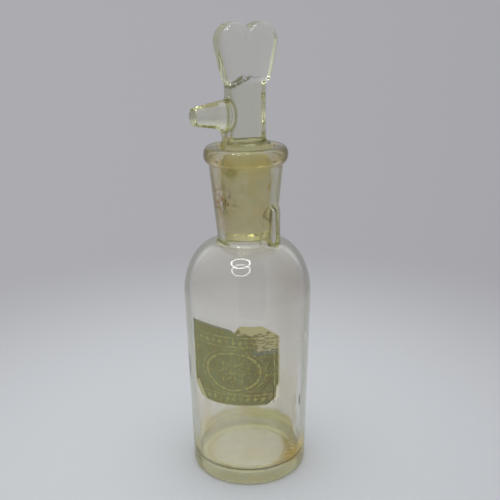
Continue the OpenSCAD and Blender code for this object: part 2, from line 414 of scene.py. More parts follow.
@dataclass(frozen=True)
class MouldedBottleGlass:
    """Moulded glass with a ground socket, stained by what the bottle held, and with painted shade where its
    outside turns away at the edges.
    """

    glass: SodaLimeGlass = SodaLimeGlass()
    # Painted shade at the grazing edges: its tint, and the facing range over which it comes in.
    edge_shade_hex: str = "#B2B09C"
    edge_shade_facing: Point = (0.5, 0.66)
    wall_film_hex: str = "#F7F3EB"
    low_film_hex: str = "#F5EFE2"
    right_film_hex: str = "#EEECE9"
    neck_tint_hex: str = "#EEE8C2"
    neck_pale_hex: str = "#F7F5EE"
    neck_pink_hex: str = "#E0C294"
    neck_green_hex: str = "#E0E6C8"
    neck_rose_hex: str = "#F5E6D0"
    socket_film_hex: str = "#FFFEF6"
    mouth_film_hex: str = "#FFFAD2"
    olive_hex: str = "#B9B05A"
    beige_hex: str = "#EAE1AE"
    halo_hex: str = "#D2CE74"
    amber_hex: str = "#DCBC48"
    seen_hex: str = "#F3D87C"
    foot_hex: str = "#EFE6B0"
    left_hex: str = "#F8EEBC"
    brown_hex: str = "#9A7A3A"
    speck_hex: str = "#C9A878"
    crust_hex: str = "#3A2E12"
    milk_hex: str = "#F6F4E6"
    ground_roughness: float = 0.13
    grain_roughness: float = 0.05
    base_roughness: float = 0.12
    dried_roughness: float = 0.24
    crust_cover: float = 0.8
    line_cover: float = 0.9
    amber_cover: float = 0.35
    haze_cover: float = 0.3
    # Grain sizes in millimetres. The real grit of a ground joint is finer than shows, so it is
    # drawn at a third of a millimetre.
    cloud_mm: float = 9.0
    smear_mm: float = 6.0
    patch_mm: float = 4.5
    streak_mm: float = 2.4
    grit_mm: float = 1.4
    fleck_mm: float = 1.3
    ground_mm: float = 0.35
    upright: tuple = (1.0, 1.0, 0.3)
    neck_upright: tuple = (1.0, 1.0, 0.35)
    ragged_mm: float = 5.0

    def build(self, sizes: "Bottle") -> bpy.types.Material:
        """Makes the material.

        Args:
            sizes: The bottle, whose heights place the stains.

        Returns:
            The finished material.
        """
        s = Shader("moulded_soda_lime_glass")
        at = s.millimetres()
        x, y, z = s.axes(at)
        r = s.distance(x, y)
        inner = s.attribute("inside")
        outer = s.inverse(inner)
        cloud = s.noise(at, self.cloud_mm, 4)
        grit = s.noise(at, self.grit_mm, 5)
        grain = s.noise(at, self.ground_mm, 2)
        facing = s.facing()

        above_floor = s.product(inner, s.ramp(z, 8, 14))
        film_and_shade = s.mix(above_floor, WHITE, self.wall_film_hex)
        # Painted shade: the outside is tinted darker where it turns away from the eye.
        rim = s.product(outer, s.ramp(facing, *self.edge_shade_facing))
        smear = s.noise(s.stretched(at, self.upright), self.smear_mm, 3)
        low = s.product(above_floor, s.ramp(z, 60, 25), s.ramp(smear, 0.25, 0.65))
        film_and_shade = s.tint(low, film_and_shade, self.low_film_hex)
        film_and_shade = s.tint(s.product(above_floor, s.ramp(x, 4, 16)), film_and_shade, self.right_film_hex)

        neck = s.product(outer, s.band(z, sizes.neck_z + 2, sizes.rim_z + 2, 3.0))
        streak = s.noise(s.stretched(at, self.neck_upright), self.streak_mm, 4)
        coat = s.mix(s.ramp(streak, 0.42, 0.62), self.neck_tint_hex, self.neck_pale_hex)
        coat = s.mix(s.product(s.ramp(z, sizes.neck_z + 16, sizes.neck_z + 4), 0.6), coat,
                     self.neck_pale_hex)
        ends = s.ramp(s.math("ABSOLUTE", x), 9, 14)
        pink = s.largest(s.product(s.ramp(x, -5, -9), s.ramp(grit, 0.42, 0.58)),
                         s.product(s.ramp(z, sizes.rim_z - 9, sizes.rim_z - 5),
                                   s.largest(ends, s.ramp(streak, 0.5, 0.6))))
        coat = s.mix(s.product(pink, 0.8), coat, self.neck_pink_hex)
        patch = s.noise(at, self.patch_mm, 3)
        coat = s.mix(s.product(s.ramp(patch, 0.5, 0.62), 0.7), coat, self.neck_green_hex)
        coat = s.mix(s.product(s.ramp(patch, 0.46, 0.36), 0.7), coat, self.neck_rose_hex)
        film_and_shade = s.tint(neck, film_and_shade, coat)
        specks = s.product(neck, s.ramp(x, -6, -9), s.band(z, sizes.neck_z + 10, sizes.neck_z + 22, 3),
                           s.ramp(grit, 0.5, 0.6))
        film_and_shade = s.tint(specks, film_and_shade, self.speck_hex)

        socket = s.product(inner, s.band(z, sizes.socket_low_z, sizes.socket_z, 0.4))
        mouth = s.product(inner, s.ramp(z, sizes.socket_z - 2, sizes.socket_z + 1))
        film_and_shade = s.tint(socket, film_and_shade, self.socket_film_hex)
        film_and_shade = s.tint(mouth, film_and_shade, self.mouth_film_hex)
        film_and_shade = s.tint(s.product(inner, s.spot(at, sizes.pool_at, 1.6, 2.4), s.ramp(grit, 0.25, 0.5)), film_and_shade,
                      self.olive_hex)
        film_and_shade = s.tint(s.product(inner, s.spot(at, sizes.dab_at, 1.0, 1.2)), film_and_shade, self.amber_hex)

        meniscus = s.product(socket, s.band(z, sizes.neck_z + 12, sizes.neck_z + 21, 2.5),
                             s.ramp(x, 0, -7), s.ramp(grit, 0.5, 0.6))
        film_and_shade = s.tint(meniscus, film_and_shade, self.brown_hex)

        ragged = s.product(s.math("SUBTRACT", cloud, 0.5), self.ragged_mm)
        climb = s.math("SUBTRACT", s.math("ADD", z, ragged), s.product(s.ramp(y, -6, 12), 4.0))
        halo = s.product(inner, s.ramp(s.math("ADD", r, ragged), 13.5, 16.5), s.ramp(climb, 9.0, 6.0))
        stain = s.mix(s.product(s.ramp(x, -8, 4), s.ramp(y, -8, 4)), self.beige_hex,
                      self.halo_hex)
        film_and_shade = s.tint(halo, film_and_shade, stain)
        right = s.product(halo, s.ramp(x, 6, 17), s.ramp(y, 12, 4), s.ramp(grit, 0.25, 0.55))
        film_and_shade = s.tint(right, film_and_shade, self.amber_hex)
        seen = s.product(outer, s.ramp(s.math("ADD", x, ragged), 12.0, 17.0), s.ramp(y, 3, -3),
                         s.band(s.math("ADD", z, ragged), 5.5, 12.5, 2.5))
        film_and_shade = s.tint(seen, film_and_shade, self.seen_hex)
        left = s.product(outer, s.ramp(s.math("ADD", x, ragged), -16.5, -21.0), s.band(z, 2.5, 13.5, 2.5))
        film_and_shade = s.tint(left, film_and_shade, self.left_hex)
        # Painted shade at the grazing edges, left off where the amber shows through.
        film_and_shade = s.tint(s.product(rim, s.inverse(seen)), film_and_shade, self.edge_shade_hex)
        foot = s.product(outer, s.ramp(z, 6, 4.5), s.ramp(y, 4, -4), s.ramp(grit, 0.3, 0.62))
        film_and_shade = s.tint(foot, film_and_shade, self.foot_hex)
        line = s.product(inner, s.line(z, sizes.floor_t + 2.3, 0.6, 0.25), s.ramp(r, 18.6, 19.2),
                         s.ramp(y, 6, -2), s.ramp(grit, 0.25, 0.45))
        film_and_shade = s.mix(line, film_and_shade, self.crust_hex)
        blob = s.product(inner, s.spot(at, sizes.blob_at, 0.7, 0.5))
        milk = s.product(inner, s.ramp(z, sizes.floor_t + 2.6, sizes.floor_t + 1.2),
                         s.math("ADD", 0.25, s.product(cloud, 0.3)))

        drop = s.product(s.spot(at, sizes.channel_foot(), 1.2, 0.8), s.ramp(grit, 0.3, 0.5))
        drop = s.largest(drop, blob)
        film_and_shade = s.mix(drop, film_and_shade, self.crust_hex)
        film_and_shade = s.mix(s.product(milk, s.inverse(s.largest(right, line))), film_and_shade, self.milk_hex)
        speck = s.product(outer, s.line(x, sizes.speck_x, 0.5, 0.2), s.ramp(y, 0, -2),
                          s.band(z, sizes.speck_z - 2.2, sizes.speck_z + 2.2, 0.7))
        film_and_shade = s.mix(speck, film_and_shade, self.crust_hex)
        fleck = s.noise(s.stretched(at, self.upright), self.fleck_mm, 3)
        dust = s.product(outer, s.ramp(fleck, 0.6, 0.68), s.ramp(x, 15, 19), s.ramp(y, 2, -2),
                         s.band(z, 30, 62, 3))
        film_and_shade = s.mix(dust, film_and_shade, self.milk_hex)
        solid = s.largest(s.product(drop, self.crust_cover), s.product(speck, self.crust_cover), milk,
                          s.product(halo, self.haze_cover), s.product(dust, self.haze_cover),
                          s.product(right, self.amber_cover), s.product(line, self.line_cover))
        ahead, aside, _ = s.turned(at, sizes.channel_turn)
        off = s.distance(aside, s.math("SUBTRACT", z, sizes.channel_cap_z))
        lip = s.product(inner, s.line(off, sizes.channel_r, 0.5, 0.25), s.ramp(ahead, 4, 6),
                        s.ramp(grit, 0.3, 0.45))
        film_and_shade = s.tint(s.product(lip, 0.85), film_and_shade, self.brown_hex)
        ground = s.math("ADD", self.ground_roughness, s.product(grain, self.grain_roughness))
        under = s.product(outer, s.ramp(z, 1.9, 1.2), s.ramp(r, 20.6, 20.0))
        dried = s.product(inner, s.ramp(z, 9, 7),
                          s.math("ADD", 1.1, s.product(s.ramp(r, 14, 16.5), 0.25)))
        rough = s.largest(s.product(socket, ground), s.product(under, self.base_roughness),
                          s.product(dried, self.dried_roughness))
        return self.glass.finish(s, film_and_shade, rough, s.inverse(solid))


@dataclass(frozen=True)
class PressedStopperGlass:
    """Pressed glass, fire-polished above and ground below, with olive and brown lines in its corners, and
    painted shade where it turns away at its edges.
    """

    glass: SodaLimeGlass = SodaLimeGlass(absorb_hex="#D5D572", absorb_per_m=18.0)
    plug_film_hex: str = "#FFFEF2"
    shank_hex: str = "#F5F5ED"
    edge_shade_hex: str = "#CBCDC0"
    # Painted shade at the grazing edges: its tint.
    olive_hex: str = "#8F8A3C"
    root_hex: str = "#A7A660"
    crust_hex: str = "#6B6430"
    ground_roughness: float = 0.12
    # Facing range over which the painted edge shade comes in.
    edge_shade_facing: Point = (0.35, 0.8)
    cloud_mm: float = 4.0
    grit_mm: float = 1.2

    def build(self, sizes: "Stopper") -> bpy.types.Material:
        """Makes the material.

        Args:
            sizes: The stopper, whose heights place the stains.

        Returns:
            The finished material.
        """
        s = Shader("pressed_soda_lime_glass")
        at = s.millimetres()
        z = s.axes(at)[2]
        along_beak = s.turned(at, sizes.beak_turn)[0]
        reach = s.math("DIVIDE", s.math("SUBTRACT", along_beak, sizes.arc_at), sizes.arc_w)
        rise = s.math("DIVIDE", s.math("SUBTRACT", z, sizes.beak_z), sizes.arc_h)
        oval = s.distance(reach, rise)
        grit = s.noise(at, self.grit_mm, 4)
        cloud = s.noise(at, self.cloud_mm, 3)
        ground = s.band(z, sizes.plug_low_z + 1, sizes.socket_z, 0.4)
        facing = s.facing()
        film_and_shade = s.tint(s.ramp(z, sizes.rim_z, sizes.rim_z - 5), WHITE, self.plug_film_hex)
        film_and_shade = s.tint(s.band(z, sizes.rim_z, sizes.head_z + 1, 1.5), film_and_shade, self.shank_hex)
        # Painted shade: above the rim, the glass is tinted darker where it turns away from the eye.
        edge = s.product(s.ramp(facing, *self.edge_shade_facing), s.ramp(z, sizes.rim_z, sizes.cap_z + 2))
        film_and_shade = s.tint(edge, film_and_shade, self.edge_shade_hex)
        foot = s.product(s.band(z, sizes.cap_z - 0.7, sizes.cap_z + 0.4, 0.4), s.ramp(cloud, 0.35, 0.55))
        film_and_shade = s.tint(foot, film_and_shade, self.olive_hex)
        root = s.product(s.line(oval, 1.0, 0.28, 0.12), s.ramp(along_beak, 9.4, 8.6))
        film_and_shade = s.tint(root, film_and_shade, self.root_hex)
        # A darker brown line along the chin under the head and along the crease at the head's foot.
        slope = s.math("ADD", z, s.product(along_beak, sizes.chin_slope))
        chin = s.product(s.line(slope, sizes.head_z + 3.0, 1.3, 0.5), s.ramp(along_beak, -1, 1),
                         s.ramp(grit, 0.32, 0.5))
        crease = s.product(s.line(z, sizes.head_z + 2.9, 0.4, 0.3), s.band(along_beak, -4, 0, 1))
        chin = s.largest(chin, s.product(crease, 0.6))
        film_and_shade = s.tint(chin, film_and_shade, self.crust_hex)
        rough = s.product(ground, self.ground_roughness)
        return self.glass.finish(s, film_and_shade, rough, 1.0)


@dataclass(frozen=True)
class AgedLabelPaper:
    """Coated label paper, letterpress printed in gold that has faded.

    It is olive-green with age, browner to the right, and torn to its cream core at the edges.
    """

    green_hex: str = "#81865F"
    olive_hex: str = "#807C56"
    brown_hex: str = "#746F4C"
    blue_hex: str = "#76857C"
    grey_hex: str = "#8E8C78"
    back_hex: str = "#8F8B72"
    gold_hex: str = "#A8A468"
    yellow_hex: str = "#94904F"
    cream_hex: str = "#B4AE84"
    white_hex: str = "#D6D2BC"
    # Colour of the darker lines along the crease and the folds.
    dark_line_hex: str = "#4E4A30"
    roughness: float = 0.72
    ior: float = 1.45
    bump: float = 0.5
    bump_mm: float = 0.08
    # Grain sizes in millimetres. Paper fibres are finer than shows, so their streaks and their
    # fuzz are drawn as wide as half a millimetre and more.
    cloud_mm: float = 7.0
    blotch_mm: float = 2.6
    speck_mm: float = 1.1
    fibre_mm: float = 1.0
    fuzz_mm: float = 0.5
    fibre_run: tuple = (0.35, 2.2, 1.0)
    scuff_run: tuple = (2.4, 0.3, 1.0)
    ragged_mm: float = 5.0

    def ornament(self, s: Shader, u: Socket, v: Socket,
                 sizes: "Label") -> Socket:
        """Printed rosette in an oval, with rules and rows of lozenges.

        Args:
            s: The paper's shader.
            u: Distance from the left edge in millimetres.
            v: Height above the lower edge in millimetres.
            sizes: The label.

        Returns:
            Mask of the print.
        """
        du = s.math("SUBTRACT", u, sizes.width / 2)
        dv = s.math("SUBTRACT", v, sizes.rosette_z)
        away = s.distance(du, dv)
        oval = s.distance(s.math("DIVIDE", du, sizes.oval_stretch), dv)
        turn = s.math("ARCTAN2", dv, du)
        petals = s.product(s.math("COSINE", s.product(turn, sizes.petals)), 1.5)
        flower = s.line(s.math("SUBTRACT", away, petals), 3.6, 0.7)
        heart = s.ramp(away, 1.5, 1.1)
        rings = s.largest(s.line(oval, 7.6, 0.7), s.line(oval, 9.0, 0.35))
        marks = [flower, heart, rings]
        across = s.math("ABSOLUTE", s.math("SUBTRACT", s.math("MODULO", u, 2.6), 1.3))
        for height in sizes.lozenge_rows:
            up = s.math("ABSOLUTE", s.math("SUBTRACT", v, height))
            marks.append(s.ramp(s.math("ADD", across, up), 1.15, 0.85))
        marks += [s.line(v, height, 0.45) for height in sizes.rules]
        inside = s.band(u, 2.4, sizes.width - 2.4, 0.2)
        marks = s.product(s.largest(*marks), inside)
        frame_lines = s.product(s.largest(s.line(u, 1.7, 0.4), s.line(u, sizes.width - 1.7, 0.4)),
                                s.band(v, 1.2, sizes.height - 3, 0.2))
        return s.largest(marks, frame_lines)

    def build(self, sizes: "Label") -> bpy.types.Material:
        """Makes the material.

        Args:
            sizes: The label, whose size places the print and the tears.

        Returns:
            The finished material.
        """
        s = Shader("aged_label_paper")
        at = s.millimetres("UV", sizes.uv_mm)
        u, v, _ = s.axes(at)
        cloud = s.noise(at, self.cloud_mm, 4)
        blotch = s.noise(at, self.blotch_mm, 4)
        fibre = s.noise(s.stretched(at, self.fibre_run), self.fibre_mm, 4, 0.3)
        fuzz = s.noise(at, self.fuzz_mm, 3)

        colour = s.mix(s.ramp(cloud, 0.35, 0.65), self.green_hex, self.olive_hex)
        colour = s.mix(s.product(s.ramp(u, 16, 27), s.ramp(blotch, 0.2, 0.6)), colour,
                       self.brown_hex)
        speck = s.noise(at, self.speck_mm, 4)
        colour = s.mix(s.product(s.ramp(speck, 0.5, 0.66), 0.7), colour, self.yellow_hex)
        worn = s.product(s.ramp(blotch, 0.34, 0.6), s.ramp(speck, 0.32, 0.55))
        ink = s.product(self.ornament(s, u, v, sizes), s.math("ADD", 0.08, s.product(worn, 0.8)))
        colour = s.mix(ink, colour, self.gold_hex)

        ragged = s.product(s.math("SUBTRACT", blotch, 0.5), self.ragged_mm)
        level = s.math("ADD", v, ragged)
        patch = s.product(s.ramp(level, 29.2, 30.0), s.band(s.math("ADD", u, ragged), 19.0, 29.5, 0.4))
        streaks = s.product(s.band(level, 22.6, 30.0, 0.5), s.ramp(s.math("ADD", u, ragged), 24.5, 26),
                            s.ramp(fibre, 0.44, 0.54))
        torn = s.largest(patch, streaks)
        bare = s.product(s.band(level, 21.0, 23.6, 0.5), s.ramp(s.math("ADD", u, ragged), 23, 25))
        colour = s.mix(s.product(bare, 0.4), colour, self.blue_hex)
        colour = s.mix(torn, colour, self.cream_hex)
        rim = s.attribute("edge")
        frayed = s.ramp(s.math("ADD", rim, s.product(s.math("SUBTRACT", fuzz, 0.5), 0.9)), 0.55, 0.8)
        fringe = s.mix(s.product(s.ramp(u, 19, 16), s.ramp(v, 20, 26)), self.cream_hex,
                       self.grey_hex)
        colour = s.mix(frayed, colour, fringe)
        fold = s.product(s.ramp(s.math("ADD", u, s.product(v, -0.08)), 31.2, 31.6),
                         s.ramp(level, 8.5, 7.0))
        worn_off = s.math("ADD", u, s.product(v, 0.55))
        corner = s.product(s.ramp(worn_off, 6.2, 5.9), s.ramp(level, 7.8, 6.8))
        curl = s.product(s.ramp(s.math("SUBTRACT", u, v), 28.4, 28.8), s.ramp(v, 3.4, 2.6))
        colour = s.mix(s.largest(fold, curl), colour, self.white_hex)
        colour = s.mix(corner, colour, self.cream_hex)
        # Darker lines along the crease by the worn corner and along the folds at the lower right.
        crease = s.product(s.line(worn_off, 6.3, 0.4), s.ramp(v, 9.5, 8))
        dark_lines = s.largest(crease, s.product(s.line(s.math("SUBTRACT", u, v), 28.0, 0.4), s.ramp(v, 4, 3)),
                         s.product(s.line(u, 31.0, 0.35), s.ramp(level, 9, 7.5)))
        colour = s.mix(s.product(dark_lines, 0.7), colour, self.dark_line_hex)
        rubbed = s.noise(s.stretched(at, self.scuff_run), self.fibre_mm, 3, 0.6)
        scuffs = s.product(s.ramp(rubbed, 0.62, 0.7), s.band(u, 11, 22, 1.5))
        colour = s.mix(s.product(scuffs, 0.55), colour, self.cream_hex)

        face = s.attribute("face")
        colour = s.mix(face, s.mix(s.ramp(cloud, 0.3, 0.7), self.back_hex,
                                   self.olive_hex), colour)
        height = s.math("ADD", s.product(fuzz, 0.4), s.product(torn, -0.8))
        bump = s.add("ShaderNodeBump", {}, {
            "Strength": self.bump, "Distance": self.bump_mm * MM, "Height": height})
        paper = s.add("ShaderNodeBsdfPrincipled", {}, {
            "Base Color": colour, "Roughness": self.roughness, "IOR": self.ior, "Normal": bump.outputs[0]})
        return s.finish(paper)


# ---------------------------------------------------------------- the bottle

@dataclass
class Bottle:
    """Moulded glass bottle with its ground socket and the channel in its neck."""

    body_d: float = 49.4
    foot_d: float = 45.8
    wall_h: float = 73.2
    wall_t: float = 2.6
    floor_t: float = 4.2
    push_up: float = 1.0
    foot_ring_w: float = 2.4
    heel_r: float = 2.0
    floor_fillet_r: float = 3.0
    shoulder_h: float = 20.7
    shoulder_t: float = 2.8
    neck_fillet_r: float = 1.6
    neck_d: float = 22.4
    neck_top_d: float = 27.8
    neck_h: float = 29.8
    collar_d: float = 31.5
    collar_h: float = 6.3
    socket_d: float = 19.0
    socket_taper: float = 0.09
    mouth_h: float = 9.0
    mouth_d: float = 22.0
    lip_r: float = 0.8
    socket_foot_r: float = 1.5
    channel_turn: float = -33.0
    channel_r: float = 2.5
    channel_depth: float = 2.9
    channel_top: float = 22.0
    ridge_t: float = 2.9
    blob_at: tuple = (6.2, -18.6, 5.2)
    pool_at: tuple = (-5.5, -9.0, 122.5)
    dab_at: tuple = (7.6, -5.0, 116.0)
    speck_x: float = 19.8
    speck_z: float = 32.0
    steps_round: int = 270
    wall_step: float = 2.0
    neck_step: float = 0.75
    pole_r: float = 1.0
    crowding: float = 0.55
    channel_blend: float = 0.3
    ridge_blend: float = 1.6
    inner_waves: Point = (14.0, 0.16)
    outer_waves: Point = (22.0, 0.06)
    inset: float = 0.08
    drop_hang: float = 2.6
    inner_calm: Point = (8.0, 20.0)
    outer_calm: Point = (3.0, 12.0)
    margins: tuple = (0.01, 1.0, 0.05)

    @property
    def neck_z(self) -> float:
        """Height of the neck's foot."""
        return self.wall_h + self.shoulder_h

    @property
    def rim_z(self) -> float:
        """Height of the rim."""
        return self.neck_z + self.neck_h + self.collar_h

    @property
    def socket_z(self) -> float:
        """Height of the ground socket's wide end."""
        return self.rim_z - self.mouth_h

    @property
    def socket_low_z(self) -> float:
        """Height of the ground socket's narrow end."""
        return self.neck_z - self.shoulder_t

    @property
    def channel_centre(self) -> float:
        """Distance of the channel's centre line from the axis."""
        return self.socket_r(self.neck_z) + self.channel_depth - self.channel_r

    @property
    def channel_cap_z(self) -> float:
        """Height at which the channel's round top begins."""
        return self.rim_z - self.channel_top - self.channel_r

    @property
    def inner_foot_r(self) -> float:
        """Inner radius of the wall just above the floor."""
        return self.wall_r(self.floor_t + self.floor_fillet_r) - self.wall_t

    def socket_r(self, z: float) -> float:
        """Radius of the ground socket at a height."""
        return self.socket_d / 2 - (self.socket_z - z) * self.socket_taper / 2

    def wall_r(self, z: float) -> float:
        """Outer radius of the side wall at a height."""
        foot_r = self.foot_d / 2
        return foot_r + (self.body_d / 2 - foot_r) * (z - self.heel_r) / (self.wall_h - self.heel_r)

    def channel_foot(self) -> tuple[float, float, float]:
        """Place of the channel's lower end.

        Returns:
            The point at which dried liquid hangs.
        """
        turn = math.radians(self.channel_turn)
        reach = self.channel_centre + self.channel_r
        return (reach * math.cos(turn), reach * math.sin(turn), self.socket_low_z - self.drop_hang)

    def dish(self, radius: float, z: float, steps: int) -> list[Point]:
        """A pushed-up base or floor, from the axis outwards."""
        return [(radius * i / steps, z + self.push_up * (1 + math.cos(math.pi * i / steps)) / 2)
                for i in range(steps + 1)]

    def outside(self) -> list[Point]:
        """Half section of the outside.

        Returns:
            Its points, from the middle of the base to the rim.
        """
        foot_r, body_r = self.foot_d / 2, self.body_d / 2
        shoulder_w = body_r - self.neck_d / 2
        end = math.degrees(math.acos(self.neck_fillet_r / shoulder_w))
        fillet_z = self.wall_h + self.shoulder_h * math.sin(math.radians(end))
        fillet_r = self.neck_fillet_r
        base = self.dish(foot_r - self.heel_r - self.foot_ring_w, 0, 14)
        base += arc(foot_r - self.heel_r, self.heel_r, self.heel_r, self.heel_r, -90, 0, 10)
        shoulder = arc(self.neck_d / 2, self.wall_h, shoulder_w, self.shoulder_h, 0, end, 44)
        fillet = arc(self.neck_d / 2 + fillet_r, fillet_z + fillet_r, fillet_r, fillet_r,
                     -90, -180, 10)
        collar = arc(self.neck_top_d / 2, self.rim_z - self.collar_h / 2,
                     (self.collar_d - self.neck_top_d) / 2, self.collar_h / 2, -90, 90, 28)
        lip = arc(self.mouth_d / 2 + self.lip_r, self.rim_z - self.lip_r, self.lip_r, self.lip_r,
                  90, 180, 8)
        return (filled(base + shoulder[:1], self.wall_step) + shoulder[1:]
                + filled(fillet + collar[:1], self.neck_step) + collar[1:] + lip)

    def inside(self) -> list[Point]:
        """Half section of the inside.

        Returns:
            Its points, from the mouth down to the middle of the floor.
        """
        low_z, low_r = self.socket_low_z, self.socket_r(self.socket_low_z)
        wall_top_r = self.body_d / 2 - self.wall_t
        round_r, dome_w = self.socket_foot_r, wall_top_r - low_r
        start = math.degrees(math.acos(round_r / dome_w))
        dome = arc(low_r, self.wall_h, dome_w, low_z - self.wall_h, start, 0, 40)
        turned = arc(low_r + round_r, dome[0][1] + round_r, round_r, round_r, 180, 270, 10)
        mouth = [(self.mouth_d / 2, self.rim_z - self.lip_r), (self.socket_d / 2, self.socket_z), turned[0]]
        corner = arc(self.inner_foot_r - self.floor_fillet_r, self.floor_t + self.floor_fillet_r,
                     self.floor_fillet_r, self.floor_fillet_r, 0, -90, 14)
        floor = self.dish(self.inner_foot_r - 2 * self.floor_fillet_r, self.floor_t, 14)[::-1]
        return (filled(mouth, self.neck_step)[1:] + turned[1:] + dome[1:]
                + filled([dome[-1], corner[0]], self.wall_step)[1:] + corner[1:]
                + filled([corner[-1]] + floor, self.wall_step)[1:])

    def channel_reach(self, radius: float, z: float, turn: float) -> float:
        """How far an upright round bar with a round top reaches from the bottle's axis.

        Args:
            radius: Radius of the bar that stands on the channel's centre line.
            z: Height of the cut.
            turn: Angle from the channel's direction in radians.

        Returns:
            Distance from the bottle's axis to the bar's far side, or 0 where it isn't met and below
            the shoulder.
        """
        if z < self.wall_h:
            return 0.0
        over = max(0.0, z - self.channel_cap_z)
        at_height = radius * radius - over * over
        sideways = self.channel_centre * math.sin(turn)
        if at_height <= sideways * sideways or math.cos(turn) <= 0:
            return 0.0
        return self.channel_centre * math.cos(turn) + math.sqrt(at_height - sideways * sideways)

    def shape_neck(self, piece: bpy.types.Object) -> None:
        """Presses the channel into the neck and moves the walls a little out of true.

        The steps round the axis are crowded towards the channel, so that its edge stays crisp.

        Args:
            piece: The spun bottle. It gets the attribute that tells its two surfaces apart.
        """
        turn = math.radians(self.channel_turn)
        inside = piece.data.attributes.new("inside", "FLOAT", "POINT")
        for vertex in piece.data.vertices:
            x, y, z = (c / MM for c in vertex.co)
            r = math.hypot(x, y)
            is_inner = self.is_inner(r, z)
            inside.data[vertex.index].value = float(is_inner)
            if r < self.pole_r:
                continue
            angle = math.atan2(y, x)
            off = (angle - turn + math.pi) % math.tau - math.pi
            off -= self.crowding * math.sin(off)
            if is_inner:
                reach = self.channel_reach(self.channel_r, z, off)
                new_r = soft_max(r, reach, self.channel_blend) if reach else r
                calm = smooth_step(*self.inner_calm, z) * smooth_step(self.socket_low_z - 1, self.wall_h, z)
                new_r += calm * self.waviness(x, y, z, *self.inner_waves)
            else:
                reach = self.channel_reach(self.channel_r + self.ridge_t, z, off)
                new_r = soft_max(r, reach, self.ridge_blend) if reach else r
                calm = smooth_step(*self.outer_calm, z)
                calm *= smooth_step(self.rim_z - self.collar_h, self.neck_z, z)
                new_r += calm * (self.waviness(x, y, z, *self.outer_waves) - self.inset)
            vertex.co = (new_r * math.cos(turn + off) * MM, new_r * math.sin(turn + off) * MM, z * MM)

    def is_inner(self, r: float, z: float) -> bool:
        """Whether a point of the glass belongs to the cavity's surface.

        Args:
            r: Distance from the axis.
            z: Height.

        Returns:
            True for the cavity's side and False for the outside.
        """
        at_floor, at_shoulder, at_mouth = self.margins
        if z < self.floor_t - at_floor:
            return False
        if z <= self.wall_h:
            return r < self.wall_r(z) - self.wall_t / 2
        if z < self.socket_low_z:
            outer = self.body_d / 2 - self.neck_d / 2
            share = math.sqrt(max(0.0, 1 - ((z - self.wall_h) / self.shoulder_h) ** 2))
            return r < self.neck_d / 2 + outer * share - at_shoulder
        return r < self.mouth_d / 2 - at_mouth

    @staticmethod
    def waviness(x: float, y: float, z: float, grain: float, height: float) -> float:
        """Unevenness of moulded glass at a place, in millimetres."""
        return height * noise.noise(Vector((x, y, z * 0.7)) / grain)

    def build(self) -> bpy.types.Object:
        """Models the bottle as one closed shell of glass.

        Returns:
            The bottle's object.
        """
        piece = spin_profile("moulded_bottle", self.outside() + self.inside(), self.steps_round)
        self.shape_neck(piece)
        activate(piece)
        bpy.ops.object.shade_smooth()
        return piece

    def dress(self, piece: bpy.types.Object) -> None:
        """Gives the bottle its glass and puts it in its CAD node's place.

        Args:
            piece: The finished bottle.
        """
        piece.data.materials.append(MouldedBottleGlass().build(self))
        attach(piece, Body.BOTTLE.value)
        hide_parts("bottle")


# ---------------------------------------------------------------- the stopper

@dataclass
class Stopper:
    """Pressed glass stopper: ground plug, shank, beak and heart-shaped grip in one."""

    rim_z: float = 130.0
    socket_z: float = 121.0
    cap_z: float = 131.8
    plug_low_z: float = 95.9
    head_z: float = 151.8
    beak_turn: float = 208.0
    beak_z: float = 141.8
    arc_at: float = 9.0
    arc_w: float = 3.2
    arc_h: float = 6.0
    chin_slope: float = 0.43
    voxel: float = 0.32
    smooth_factor: float = 0.5
    smooth_turns: int = 16

    def build(self) -> bpy.types.Object:
        """Models the stopper with the soft corners that pressed glass has.

        Returns:
            The stopper's object.
        """
        piece = bpy.data.objects.new("pressed_stopper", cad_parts["stopper"].data.copy())
        bpy.context.scene.collection.objects.link(piece)
        piece.data.materials.clear()
        activate(piece)
        bpy.ops.object.mode_set(mode="EDIT")
        bpy.ops.mesh.select_all(action="SELECT")
        bpy.ops.mesh.remove_doubles(threshold=CAD_WELD)
        bpy.ops.object.mode_set(mode="OBJECT")
        apply_modifier(piece, "REMESH", mode="VOXEL", voxel_size=self.voxel * MM)
        apply_modifier(piece, "SMOOTH", factor=self.smooth_factor, iterations=self.smooth_turns)
        bpy.ops.object.shade_smooth()
        return piece

    def dress(self, piece: bpy.types.Object) -> None:
        """Gives the stopper its glass and puts it in its CAD node's place.

        Args:
            piece: The finished stopper.
        """
        piece.data.materials.append(PressedStopperGlass().build(self))
        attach(piece, Body.STOPPER.value)
        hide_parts("stopper")


# ---------------------------------------------------------------- the label

